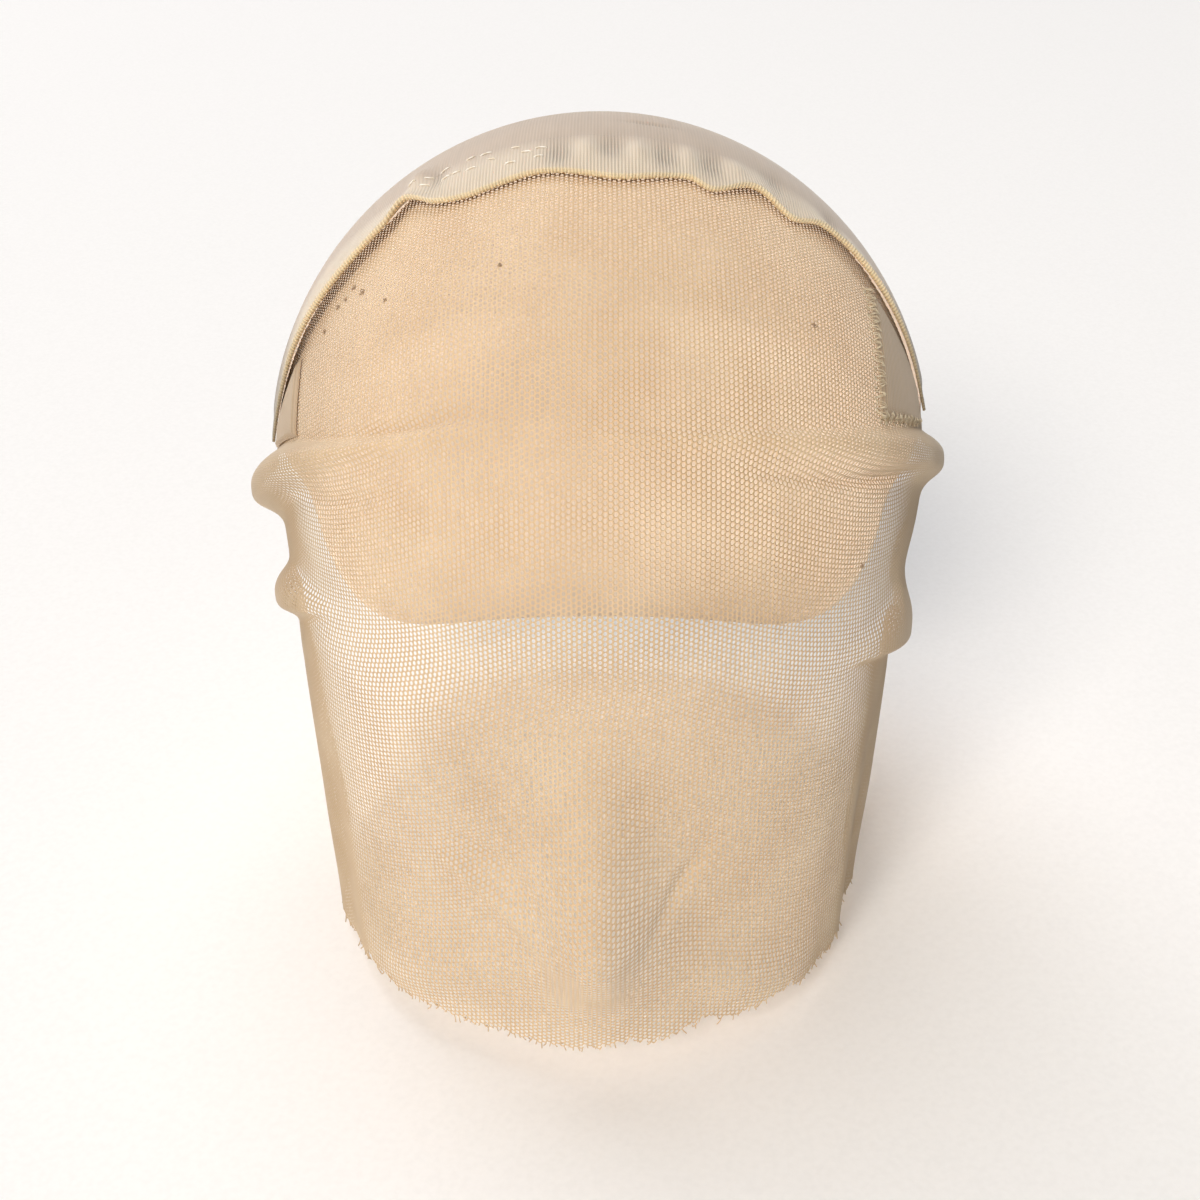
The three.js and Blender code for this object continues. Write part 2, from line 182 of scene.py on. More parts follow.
# Net: regular hexagons, their holes straight above each other along a wale. The threads between the wales
# are thicker than the bars that cross a wale, so that the wales show as fine upright lines.
HOLE_SPACING = 1.19
UPRIGHT_WIDTH = 0.53
BAR_WIDTH = 0.30
THREAD_ROUND = 0.16
HEX_RADIUS = HOLE_SPACING / math.sqrt(3)
WALE_SPACING = 1.5 * HEX_RADIUS
WALE_RADIUS = 79
# Below the widest level, how far down the rows that are drawn together at the temples spread out again
NET_RELAX = 50
# Raggedness of the cut, along it and from wale to wale
CUT_WAVE = 1.6
CUT_JITTER = 0.9
# The sheet is meshed in these strips from side to side, which meet along a wale
NET_STRIPS = ("lace_right", "lace_middle", "lace_left")

# Small knots where the net was mended or a thread was pulled: place on a wale and size across
SLUBS = [
    dict(degrees=-43.1, rise=102, size=1.3),
    dict(degrees=-45.1, rise=99.5, size=1.0),
    dict(degrees=-40.8, rise=97.5, size=1.5),
    dict(degrees=-47.0, rise=98.4, size=1.2),
    dict(degrees=-35.3, rise=90.4, size=0.9),
    dict(degrees=-50.5, rise=92.0, size=1.2),
    dict(degrees=-15.1, rise=91.2, size=0.9),
    dict(degrees=34.6, rise=82.2, size=1.3),
    dict(degrees=45.1, rise=9.8, size=1.2),
]

# Rib knit: ribs run back from the front edge, one every rib spacing
RIB_SPACING = 0.72
LOOP_SPACING = 0.62
RIB_RADIUS = 77
RIB_SAMPLES = 6
RIB_RELIEF = 0.10
FOLD_BEAD = 0.17
# How far the crown's edge runs on under the hem, and over how many degrees the hem thins out to its ends,
# where it is also painted darker, as shade
CROWN_UNDERLAP = 1.0
HEM_END_DEGREES = 27

# Puckers of the hem and the crown's front, where the turned knit was eased in
PUCKERS = [
    dict(degrees=-30.5, y=-1, width=2.6, reach=6, height=1.8),
    dict(degrees=-27.0, y=-5, width=2.0, reach=6, height=-0.7),
    dict(degrees=-6.4, y=-10, width=3.0, reach=7, height=-0.8),
    dict(degrees=-2.0, y=-9, width=2.0, reach=6, height=0.7),
    dict(degrees=1.8, y=-8, width=3.2, reach=6, height=-0.85),
    dict(degrees=6.0, y=-10, width=2.0, reach=6, height=0.7),
    dict(degrees=10.4, y=-10, width=3.0, reach=7, height=-0.8),
    dict(degrees=14.2, y=-8, width=1.8, reach=6, height=0.5),
    dict(degrees=18.0, y=-9, width=3.0, reach=7, height=-0.8),
    dict(degrees=22.0, y=-8, width=2.4, reach=6, height=0.8),
    dict(degrees=29.2, y=-5, width=3.0, reach=6, height=-0.5),
    dict(degrees=41.0, y=-6, width=3.2, reach=6, height=-0.6),
    dict(degrees=8.6, y=11.5, width=5.5, reach=1.4, height=-0.5),
]
# Painted shade between the ribs for each millimetre that a pucker is sunk
PUCKER_SHADE = 1.5

# Temple panels of crown knit, laid on the lace between the hem and the upper roll
PANELS = [
    dict(side="left", seam_degrees=49.5, back_degrees=67, roll=ROLLS[0], roll_clearance=7, zigzag=True),
    dict(side="right", seam_degrees=-58, back_degrees=-69, roll=ROLLS[2], roll_clearance=8, zigzag=False),
]
PANEL_HEM_GAP = 0.6
PANEL_CLEARANCE = 0.5

# Sewing: running stitches on the hem, each by degrees from the top and its share of the way from the fold to
# the sewn line, and a zigzag of finer strands on a panel
THREAD_RADIUS = 0.16
STRAND_RADIUS = 0.08
STITCH_LENGTH = 2.2
STITCHES = [
    (-31.2, 0.78), (-28.4, 0.86), (-28.9, 0.58), (-25.8, 0.98), (-25.3, 0.66),
    (-23.4, 0.67), (-21.1, 0.97), (-20.8, 0.62), (-18.5, 0.94), (-17.4, 0.70),
    (-13.5, 0.86), (-14.1, 0.40), (-11.6, 0.62), (-9.3, 0.69), (-9.6, 0.41),
]
ZIGZAG_PITCH = 2.4
ZIGZAG_WIDTH = 2.7
ZIGZAG_STRANDS = 3

# Camera at the photo's viewing angle, its image being as wide as it is high
CAMERA_AT = (0, -345.2, 108.1)
CAMERA_PITCH_DEGREES = 33.63
CAMERA_FOCAL_LENGTH = 47.5
SENSOR_WIDTH = 36

# Floor: half its width in metres, and how far it lies under the cap
FLOOR_HALF = 5.0
FLOOR_GAP = 5

draws = np.random.default_rng(11)


# Form and tables

def column(table, key, name, at):
    """Smooth value of one column of a table at places along its key column, level at both ends."""
    rows = sorted(table, key=lambda row: row[key])
    keys = np.array([row[key] for row in rows], float)
    values = np.array([row[name] for row in rows], float)
    slopes = np.zeros(len(rows))
    slopes[1:-1] = (values[2:] - values[:-2]) / (keys[2:] - keys[:-2])
    at = np.clip(at, keys[0], keys[-1])
    i = np.clip(np.searchsorted(keys, at, side="right") - 1, 0, len(rows) - 2)
    span = keys[i + 1] - keys[i]
    t = (at - keys[i]) / span
    s = 1 - t
    ends = values[i] * s * s * (1 + 2 * t) + values[i + 1] * t * t * (1 + 2 * s)
    return ends + span * t * s * (slopes[i] * s - slopes[i + 1] * t)


def ease(value, start, end):
    """0 before start, 1 after end, and a smooth step between."""
    t = np.clip((value - start) / (end - start), 0, 1)
    return t * t * (3 - 2 * t)


def mix(a, b, share):
    return a + (b - a) * share


def crossing(low, high, rising):
    """Places between low and high where a rising function of an array passes zero."""
    below, above = np.array(low, float), np.array(high, float)
    for _ in range(40):
        middle = (below + above) / 2
        under = rising(middle) < 0
        below, above = np.where(under, middle, below), np.where(under, above, middle)
    return (below + above) / 2


def unit(vectors):
    return vectors / np.linalg.norm(vectors, axis=-1, keepdims=True)


def section_at(level):
    """Half width, front, back and squareness of the form's level sections."""
    return [column(SECTIONS, "z", name, level) for name in ("half_width", "front", "back", "squareness")]


def form_value(points):
    """The worn form: negative inside, zero on its surface."""
    x, y, z = np.moveaxis(points, -1, 0)
    width, front, back, squareness = section_at(np.minimum(z, -DOME_HEIGHT))
    depth = np.where(y < 0, front, back)
    above = np.maximum(z + DOME_HEIGHT, 0) / DOME_HEIGHT
    return np.abs(x / width) ** squareness + np.abs(y / depth) ** squareness + above ** 2 - 1


def form_normal(points):
    steps = np.eye(3) * 0.02
    return unit(np.stack([form_value(points + s) - form_value(points - s) for s in steps], -1))


def form_along(directions):
    """Points of the form on rays from the middle of its widest level."""
    middle = np.array([0, 0, -DOME_HEIGHT])
    span = np.zeros(directions.shape[:-1])
    reach = crossing(span, span + 2 * WIDEST["front"],
                     lambda t: form_value(middle + directions * t[..., None]))
    return middle + directions * reach[..., None]


def form_on_wale(lateral, rise):
    """Points of the form on wales of the lace, which are parallel to its middle."""
    across = WIDEST["half_width"] * np.sin(lateral)
    forward = WIDEST["front"] * np.cos(lateral)
    tilt = np.maximum(rise, 0) / DOME_RADIUS
    dome_z = DOME_HEIGHT * (np.cos(lateral) * np.sin(tilt) - 1)
    dome = np.stack([across, -forward * np.cos(tilt), dome_z], -1)
    z = np.minimum(rise, 0) - DOME_HEIGHT
    width, front, _, squareness = section_at(z)
    size = np.abs(across / width) ** squareness + np.abs(forward / front) ** squareness
    reach = size ** (-1 / squareness)
    curtain = np.stack([reach * across, -reach * forward, z], -1)
    return np.where((rise >= 0)[..., None], dome, curtain)


def form_over_top(degrees, y):
    """Points of the form on the way from side to side over the top, at a set-forward of y."""
    turn = np.radians(np.abs(degrees))
    depth = np.where(y < 0, WIDEST["front"], WIDEST["back"])
    part = np.sqrt(1 - (y / depth) ** 2)
    low_z = -DOME_HEIGHT * (1 + turn - math.pi / 2)
    width, front, back, squareness = section_at(np.minimum(low_z, -DOME_HEIGHT))
    low_depth = np.where(y < 0, front, back)
    low_x = width * (1 - np.abs(y / low_depth) ** squareness) ** (1 / squareness)
    low = turn > math.pi / 2
    x = np.where(low, low_x, WIDEST["half_width"] * part * np.sin(turn))
    z = np.where(low, low_z, DOME_HEIGHT * (part * np.cos(turn) - 1))
    return np.stack([np.sign(degrees) * x, y, z], -1)


def degrees_over_top(points):
    x, _, z = np.moveaxis(points, -1, 0)
    dome = np.degrees(np.arctan2(x / WIDEST["half_width"], z / DOME_HEIGHT + 1))
    low = np.sign(x) * (90 + np.degrees(-z / DOME_HEIGHT - 1))
    return np.where(z < -DOME_HEIGHT, low, dome)


def hem_edge(degrees):
    return column(FRONT_EDGE, "degrees", "y", degrees)


def hem_back(degrees):
    return column(HEM_BACK, "degrees", "y", np.abs(degrees))


def crown_edge_level(points):
    x, y, _ = np.moveaxis(points, -1, 0)
    drawn_up = LEFT_EDGE_RISE["z"] * (1 - ease(y, LEFT_EDGE_RISE["start"], LEFT_EDGE_RISE["end"]))
    return column(CROWN_LOWER_EDGE, "y", "z", y) + np.where(x > 0, drawn_up, 0)


def pucker(degrees, y):
    """How far the puckers raise or sink the knit at a place of the hem or of the crown behind it."""
    lift = np.zeros(np.broadcast(degrees, y).shape)
    for dent in PUCKERS:
        across = np.radians(degrees - dent["degrees"]) * RIB_RADIUS / dent["width"]
        along = (y - dent["y"]) / dent["reach"]
        lift += dent["height"] * np.exp(-across ** 2 - along ** 2)
    return lift


# Lace sheet

def ridge_level(roll, y):
    return roll["z"] - roll["climb"] * (y - roll["y"])


def roll_share(roll, points):
    """How much of a roll's fullness a place has: 1 on the fullest part of its ridge, 0 away from it."""
    x, y, z = np.moveaxis(points, -1, 0)
    away = z - ridge_level(roll, y)
    along = ease(y, roll["front_end"], roll["y"]) * (1 - ease(y, roll["y"], roll["back_end"]))
    across = np.abs(away) / np.where(away > 0, roll["above"], roll["below"]) / mix(ROLL_TIP, 1, along)
    return np.where(x * roll["side"] > 0, along ** ROLL_TAPER * np.exp(-across ** ROLL_BLUNTNESS), 0)


def crease_lift(crease, lateral, z):
    start = np.array([math.radians(crease["from_degrees"]) * WALE_RADIUS, crease["from_z"]])
    end = np.array([math.radians(crease["to_degrees"]) * WALE_RADIUS, crease["to_z"]])
    place = np.stack([lateral * WALE_RADIUS, z], -1)
    run = end - start
    t = np.clip(((place - start) @ run) / (run @ run), 0, 1)
    away = np.linalg.norm(place - start - t[..., None] * run, axis=-1)
    return crease["height"] * np.sin(math.pi * t) * np.exp(-(away / crease["width"]) ** 2)


def flute_lift(lateral, z):
    share = ease(-z, -FLUTE_TOP, -FLUTE_FULL)
    side = ease(np.abs(np.degrees(lateral)), FLUTE_INNER_DEGREES, FLUTE_OUTER_DEGREES)
    return FLUTE_HEIGHT * share * side * np.sin(lateral * WALE_RADIUS * 2 * math.pi / FLUTE_SPACING)


def lace_face(lateral, rise):
    """Outer face of the lace: the form, with its sagging rolls, creases, flutes, lean and tented ridge."""
    base = form_on_wale(lateral, rise)
    z = base[..., 2]
    lift = flute_lift(lateral, z) - LACE_DEPTH
    sag = np.zeros_like(z)
    for roll in ROLLS:
        share = roll_share(roll, base)
        lift = lift + roll["height"] * share
        sag = sag + ROLL_SAG * roll["height"] * share * (share - 0.5)
    for crease in CREASES:
        lift = lift + crease_lift(crease, lateral, z)
    face = base + form_normal(base) * lift[..., None]
    face[..., 2] -= sag
    face[..., 0] += LACE_LEAN["x"] * ease(-z, -LACE_LEAN["start"], -LACE_LEAN["end"])
    spread = column(TENT_RIDGE, "z", "spread", z)
    face[..., 1] -= column(TENT_RIDGE, "z", "height", z) * np.exp(-(base[..., 0] / spread) ** 2)
    return face


def lace_normal(lateral, rise):
    step = 0.05
    turn = step / DOME_RADIUS
    across = lace_face(lateral + turn, rise) - lace_face(lateral - turn, rise)
    up = lace_face(lateral, rise + step) - lace_face(lateral, rise - step)
    return unit(np.cross(across, up))


def rise_at_hem(lateral, behind_edge):
    """Rise at which wales pass a set-forward measured from the hem's front edge."""
    def beyond(rise):
        points = form_on_wale(lateral, rise)
        return points[..., 1] - hem_edge(degrees_over_top(points)) - behind_edge
    return crossing(np.zeros_like(lateral), np.full_like(lateral, DOME_RADIUS * math.pi / 2), beyond)


def smooth_net_rise(lateral, along):
    """Rise of a place of a net without rolls, from its way along the wale. Its rows draw together toward the
    temples."""
    drawn = math.sqrt(math.cos(lateral))
    tilts = np.linspace(0, math.pi / 2, 400)
    steps = np.hypot(WIDEST["front"] * np.diff(np.cos(tilts)), DOME_HEIGHT * np.diff(np.sin(tilts)))
    ways = np.concatenate([[0], np.cumsum(steps)])
    above = DOME_RADIUS * np.interp(along / drawn, ways, tilts)
    inside = np.clip(along, -NET_RELAX, 0)
    below = along + (drawn - 1) * (inside + inside ** 2 / (2 * NET_RELAX))
    return np.where(along >= 0, above, below)


def net_rise_table():
    """Rise of net places with the spare rows that the rolls take up: a row for each of NET_WALES, and a
    column for each of NET_WAYS along it."""
    table = []
    for lateral in NET_WALES:
        rises = smooth_net_rise(lateral, NET_WAYS)
        points = form_on_wale(np.full_like(rises, lateral), rises)
        spare = ROLL_SPARE * sum(roll_share(roll, points) for roll in ROLLS)
        steps = np.diff(rises) * (spare[1:] + spare[:-1]) / 2
        taken = np.concatenate([np.cumsum(steps[::-1])[::-1], [0]])
        table.append(np.interp(NET_WAYS, NET_WAYS - taken, rises))
    return np.array(table)


NET_WALES = np.radians(np.linspace(-81, 81, 163))
NET_WAYS = np.arange(-260, 140, 0.2)
NET_RISES = net_rise_table()


def net_rise(lateral, along):
    """Rise of a place of the net, from its way along the wale."""
    i = np.interp(lateral, NET_WALES, np.arange(len(NET_WALES)))
    j = np.interp(along, NET_WAYS, np.arange(len(NET_WAYS)))
    low_i = np.minimum(i.astype(int), len(NET_WALES) - 2)
    low_j = np.minimum(j.astype(int), len(NET_WAYS) - 2)
    first = mix(NET_RISES[low_i, low_j], NET_RISES[low_i, low_j + 1], j - low_j)
    second = mix(NET_RISES[low_i + 1, low_j], NET_RISES[low_i + 1, low_j + 1], j - low_j)
    return mix(first, second, i - low_i)


# Meshes

def add_mesh(name, points, face_groups, material, uv=None, bunching=None, painted_end_shade=None):
    """A smooth mesh object from points in millimetres and arrays of faces. For every point, uv gives a place
    in millimetres, bunching how much the knit is drawn together there, which deepens the painted shade
    between its ribs, and the last argument how much painted shade darkens it."""
    mesh = bpy.data.meshes.new(name)
    corners = np.concatenate([faces.ravel() for faces in face_groups]).astype(np.int32)
    sizes = np.concatenate([np.full(len(faces), faces.shape[1]) for faces in face_groups])
    starts = np.concatenate([[0], np.cumsum(sizes)[:-1]]).astype(np.int32)
    mesh.vertices.add(len(points))
    mesh.vertices.foreach_set("co", (points * METRES).astype(np.float32).ravel())
    mesh.loops.add(len(corners))
    mesh.loops.foreach_set("vertex_index", corners)
    mesh.polygons.add(len(sizes))
    mesh.polygons.foreach_set("loop_start", starts)
    mesh.polygons.foreach_set("use_smooth", np.ones(len(sizes), bool))
    mesh.update(calc_edges=True)
    if uv is not None:
        layer = mesh.uv_layers.new(name="cloth")
        layer.data.foreach_set("uv", uv[corners].astype(np.float32).ravel())
    for label, shares in (("bunching", bunching), ("painted_end_shade", painted_end_shade)):
        if shares is not None:
            values = mesh.attributes.new(label, "FLOAT", "POINT")
            values.data.foreach_set("value", shares.astype(np.float32).ravel())
    mesh.materials.append(material)
    piece = bpy.data.objects.new(name, mesh)
    bpy.context.scene.collection.objects.link(piece)
    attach(piece, BODY)
    return piece


def grid_faces(rows, columns, first=0):
    """Quads of a grid of points stored row by row."""
    row, col = np.meshgrid(np.arange(rows - 1), np.arange(columns - 1), indexing="ij")
    corner = (first + row * columns + col).ravel()
    return np.stack([corner, corner + columns, corner + columns + 1, corner + 1], -1)


def wall_faces(rows, columns):
    """Quads of a closed wall: an outer grid, an inner grid stored after it, and the rim between them."""
    count = rows * columns
    index = np.arange(count).reshape(rows, columns)
    rim = np.concatenate([index[:, 0], index[-1, 1:], index[-2::-1, -1], index[0, -2:0:-1]])
    after = np.roll(rim, -1)
    edge = np.stack([rim, rim + count, after + count, after], -1)
    return np.concatenate([grid_faces(rows, columns), grid_faces(rows, columns, count)[:, ::-1], edge])


def tubes(paths, normals, radius, sides=6):
    """Points and faces of round threads along paths on a surface, all with the same number of points."""
    count, length, _ = paths.shape
    along = unit(np.gradient(paths, axis=1))
    across = unit(np.cross(along, normals))
    up = np.cross(across, along)
    turn = np.arange(sides) * 2 * math.pi / sides
    ring = across[:, :, None] * np.cos(turn)[:, None] + up[:, :, None] * np.sin(turn)[:, None]
    points = paths[:, :, None] + radius * ring
    index = np.arange(count * length * sides).reshape(count, length, sides)
    after = np.roll(index, -1, axis=2)
    quads = np.stack([index[:, :-1], after[:, :-1], after[:, 1:], index[:, 1:]], -1)
    caps = np.concatenate([index[:, 0, ::-1], index[:, -1]])
    return points.reshape(-1, 3), [quads.reshape(-1, 4), caps]


# Materials

def linear(hex_colour):
    """Linear colour of an sRGB hex value."""
    parts = [int(hex_colour[i:i + 2], 16) / 255 for i in (1, 3, 5)]
    return tuple(p / 12.92 if p <= 0.04045 else ((p + 0.055) / 1.055) ** 2.4 for p in parts) + (1.0,)


def add_node(tree, kind, settings=None, links=None):
    """A node with its settings, each a socket's value or a node's field, and links from other sockets."""
    node = tree.nodes.new(kind)
    sockets = {socket.name: socket for socket in reversed(node.inputs)}
    sockets.update(enumerate(node.inputs))
    for name, value in (settings or {}).items():
        if name in sockets:
            sockets[name].default_value = value
        else:
            setattr(node, name, value)
    for name, source in (links or {}).items():
        tree.links.new(source, sockets[name])
    return node


def new_material(name):
    """An empty material, its tree, and its surface socket."""
    material = bpy.data.materials.new(name)
    material.use_nodes = True
    tree = material.node_tree
    tree.nodes.clear()
    output = add_node(tree, "ShaderNodeOutputMaterial")
    return material, tree, output.inputs["Surface"]


def tinted(tree, value, stops):
    """Colour that a value picks from stops, which are places and sRGB hex values."""
    node = add_node(tree, "ShaderNodeValToRGB", links={"Fac": value})
    ramp = node.color_ramp
    while len(ramp.elements) < len(stops):
        ramp.elements.new(1.0)
    for element, (place, hex_colour) in zip(ramp.elements, stops):
        element.position = place
        element.color = linear(hex_colour)
    return node.outputs["Color"]


def calc(tree, operation, *terms, clamp=False):
    """Result of a calculation whose terms are sockets or numbers."""
    numbers = {i: term for i, term in enumerate(terms) if isinstance(term, (int, float))}
    sockets = {i: term for i, term in enumerate(terms) if i not in numbers}
    settings = {"operation": operation, "use_clamp": clamp, **numbers}
    return add_node(tree, "ShaderNodeMath", settings, sockets).outputs["Value"]


def scaled(tree, value, before, after, course="LINEAR"):
    """A value that runs over the range before, mapped to the range after."""
    settings = {"interpolation_type": course, "From Min": before[0], "From Max": before[1],
                "To Min": after[0], "To Max": after[1]}
    return add_node(tree, "ShaderNodeMapRange", settings, {"Value": value}).outputs["Result"]


def noise(tree, place, size, detail):
    """Unevenness of about a size in millimetres."""
    settings = {"Scale": 1 / (size * METRES), "Detail": detail}
    return add_node(tree, "ShaderNodeTexNoise", settings, {"Vector": place}).outputs["Fac"]


def darkened(tree, colour, shade):
    """A colour multiplied by a shade."""
    settings = {"data_type": "RGBA", "blend_type": "MULTIPLY", "Factor": 1.0}
    return add_node(tree, "ShaderNodeMix", settings, {6: colour, 7: shade}).outputs[2]


def tulle_net_material():
    """Polyester tulle, warp knitted and heat set: fine matt threads that the light only just rounds, a little
    uneven in tint from place to place."""
    material, tree, surface = new_material("polyester_tulle_net")
    place = add_node(tree, "ShaderNodeTexCoord").outputs["Object"]
    tint = tinted(tree, noise(tree, place, 18, 2.0), [(0.3, "#D2B48D"), (0.7, "#DEC49F")])
    # Painted shade: darker toward the temples, where the lace turns away from the light
    parts = add_node(tree, "ShaderNodeSeparateXYZ", links={"Vector": place})
    across = calc(tree, "ABSOLUTE", parts.outputs["X"])
    painted_temple_shade = scaled(tree, across, (42 * METRES, 76 * METRES), (1.0, 0.7), "SMOOTHSTEP")
    bump = add_node(tree, "ShaderNodeBump", {"Strength": 0.25, "Distance": 0.05 * METRES},
                    {"Height": noise(tree, place, 0.12, 1.0)})
    shader = add_node(tree, "ShaderNodeBsdfPrincipled",
                      {"Roughness": 0.6, "IOR": 1.53, "Sheen Weight": 0.25, "Sheen Roughness": 0.5},
                      {"Base Color": darkened(tree, tint, painted_temple_shade), "Normal": bump.outputs["Normal"]})
    tree.links.new(shader.outputs["BSDF"], surface)
    return material


def rib_knit_material(name, stops, edge_depth, rib_depth):
    """Nylon and elastane rib knit, machine knitted: matt, with fine upright ribs of little loops and painted
    shade between the ribs, deepest where it is bunched, faintly streaked along them, with a soft sheen where
    it turns away, and thin enough to let a little light through. The stops tint it by its way from the turned
    edge. There the ribs show with edge_depth, and away from it with rib_depth. Where a mesh asks for it, it
    is also painted darker, as shade."""
    material, tree, surface = new_material(name)
    cloth = add_node(tree, "ShaderNodeUVMap", {"uv_map": "cloth"}).outputs["UV"]
    place = add_node(tree, "ShaderNodeTexCoord").outputs["Object"]
    parts = add_node(tree, "ShaderNodeSeparateXYZ", links={"Vector": cloth})
    across, along = parts.outputs["X"], parts.outputs["Y"]
    bunching, painted_end_shade = [add_node(tree, "ShaderNodeAttribute", {"attribute_name": label}).outputs["Fac"]
                          for label in ("bunching", "painted_end_shade")]
    # Ribs across the cloth, with loops along each rib that lean to both sides of its middle
    rib = calc(tree, "COSINE", calc(tree, "MULTIPLY", across, 2 * math.pi / RIB_SPACING))
    lean = calc(tree, "ABSOLUTE", rib)
    loop = calc(tree, "SINE", calc(tree, "MULTIPLY_ADD", along, 2 * math.pi / LOOP_SPACING, lean))
    knit = calc(tree, "MULTIPLY_ADD", loop, 0.35, rib)
    # Painted shade between the ribs
    rib_valley_shade = scaled(tree, knit, (-1.35, 1.0), (-1.0, 0.0))
    flatter = scaled(tree, along, (2.0, 14.0), (edge_depth, rib_depth))
    depth = calc(tree, "MULTIPLY_ADD", bunching, 0.36, flatter)
    relief = calc(tree, "MULTIPLY", depth, 2.0, clamp=True)
    # Blotches, streaks, and painted shade that darkens the hem toward its ends
    streak_way = add_node(tree, "ShaderNodeMapping", {"Scale": (1 / 1.3, 1 / 28, 1.0)}, {"Vector": cloth})
    streaks = add_node(tree, "ShaderNodeTexNoise", {"Scale": 1.0, "Detail": 3.0},
                       {"Vector": streak_way.outputs["Vector"]})
    blotches = calc(tree, "ADD", noise(tree, place, 14, 3.0), streaks.outputs["Fac"])
    uneven = scaled(tree, blotches, (0.0, 2.0), (0.86, 1.14))
    painted_darkening = scaled(tree, painted_end_shade, (0.0, 1.0), (1.0, 0.4))
    shade = calc(tree, "MULTIPLY", calc(tree, "MULTIPLY_ADD", rib_valley_shade, depth, uneven), painted_darkening)
    tint = tinted(tree, calc(tree, "MULTIPLY_ADD", along, 1 / 20, 0.1), stops)
    bump = add_node(tree, "ShaderNodeBump", {"Distance": RIB_RELIEF * METRES},
                    {"Height": knit, "Strength": relief})
    shader = add_node(tree, "ShaderNodeBsdfPrincipled",
                      {"Roughness": 0.85, "IOR": 1.53, "Sheen Weight": 0.2, "Sheen Roughness": 0.4,
                       "Subsurface Weight": 0.4, "Subsurface Radius": (1.0, 0.85, 0.7),
                       "Subsurface Scale": 0.8 * METRES},
                      {"Base Color": darkened(tree, tint, shade), "Normal": bump.outputs["Normal"]})
    tree.links.new(shader.outputs["BSDF"], surface)
    return material


def sewing_thread_material(name, dark_hex, light_hex):
    """Spun polyester sewing thread: off-white, matt, with a twist that shows as fine slanting lines."""
    material, tree, surface = new_material(name)
    place = add_node(tree, "ShaderNodeTexCoord").outputs["Object"]
    twist = add_node(tree, "ShaderNodeTexWave",
                     {"Scale": 1 / (4 * METRES), "bands_direction": "DIAGONAL", "Distortion": 1.0},
                     {"Vector": place}).outputs["Fac"]
    tint = tinted(tree, twist, [(0.2, dark_hex), (0.8, light_hex)])
    bump = add_node(tree, "ShaderNodeBump", {"Strength": 0.4, "Distance": 0.05 * METRES}, {"Height": twist})
    shader = add_node(tree, "ShaderNodeBsdfPrincipled", {"Roughness": 0.7, "IOR": 1.5, "Sheen Weight": 0.2},
                      {"Base Color": tint, "Normal": bump.outputs["Normal"]})
    tree.links.new(shader.outputs["BSDF"], surface)
    return material


def floor_paper_material():
    """Matt white background paper: even and bright, with a faint tooth."""
    material, tree, surface = new_material("matt_background_paper")
    place = add_node(tree, "ShaderNodeTexCoord").outputs["Object"]
    tint = tinted(tree, noise(tree, place, 1.5, 2.0), [(0.3, "#F6F6F6"), (0.7, "#FAFAFA")])
    shader = add_node(tree, "ShaderNodeBsdfPrincipled", {"Roughness": 0.95}, {"Base Color": tint})
    tree.links.new(shader.outputs["BSDF"], surface)
    return material


# Pieces

def net_cells():
    """Wale numbers and ways along the wale of every hole of the net, down to the ragged cut."""
    last = int(math.radians(LACE_SIDE_DEGREES) * WALE_RADIUS / WALE_SPACING)
    wales = np.arange(-last, last + 1)
    courses = np.arange(-210, 115)
    wale, course = np.meshgrid(wales, courses, indexing="ij")
    along = (course + 0.5 * (wale % 2)) * HOLE_SPACING
    lateral = wale * WALE_SPACING / WALE_RADIUS
    points = form_on_wale(lateral, net_rise(lateral, along))
    tucked = points[..., 1] - hem_edge(degrees_over_top(points)) <= LACE_TUCK
    tucked &= along < DOME_RADIUS * math.pi / 2 * np.sqrt(np.cos(lateral))
    knots = draws.normal(0, CUT_WAVE, 40)
    wave = np.interp(np.linspace(0, 39, len(wales)), np.arange(40), knots)
    wave = wave + draws.uniform(-CUT_JITTER, CUT_JITTER, len(wales))
    cut = column(LACE_CUT, "degrees", "z", np.abs(np.degrees(lateral[:, 0]))) + np.abs(wave)
    hanging = points[..., 2] >= cut[:, None]
    keep = tucked & hanging
    return wale[keep], along[keep]


